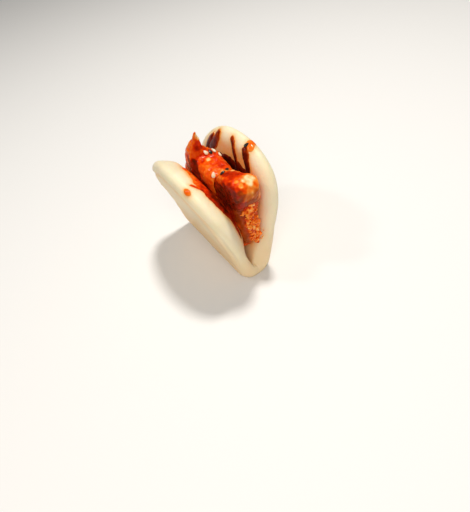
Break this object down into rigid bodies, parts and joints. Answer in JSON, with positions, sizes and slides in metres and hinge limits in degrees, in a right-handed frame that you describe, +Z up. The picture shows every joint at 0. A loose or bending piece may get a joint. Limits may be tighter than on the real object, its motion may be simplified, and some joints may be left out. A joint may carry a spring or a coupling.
{
  "type": "gua bao",
  "caption": "Folded steamed bun holding crisp fried fillets glazed in red sauce, with sauce runs on a flap, crumbs and sesame seeds.",
  "frame": {"origin": "under the middle of the whole, on the flat along the fold that the bun stands on", "axes": "+X along the fold towards the end with the crumbs, +Y towards the flap with the sauce runs, +Z up"},
  "size_m": [0.0732, 0.0494, 0.08],
  "materials": {
    "dough": "soft matte steamed dough",
    "crust": "glossy sauced crust",
    "sauce": "glossy thick sauce",
    "seed": "smooth seed"
  },
  "bodies": {
    "root": {"bun": "dough", "fillet_front": "crust", "fillet_back": "crust"}
  },
  "joints": []
}
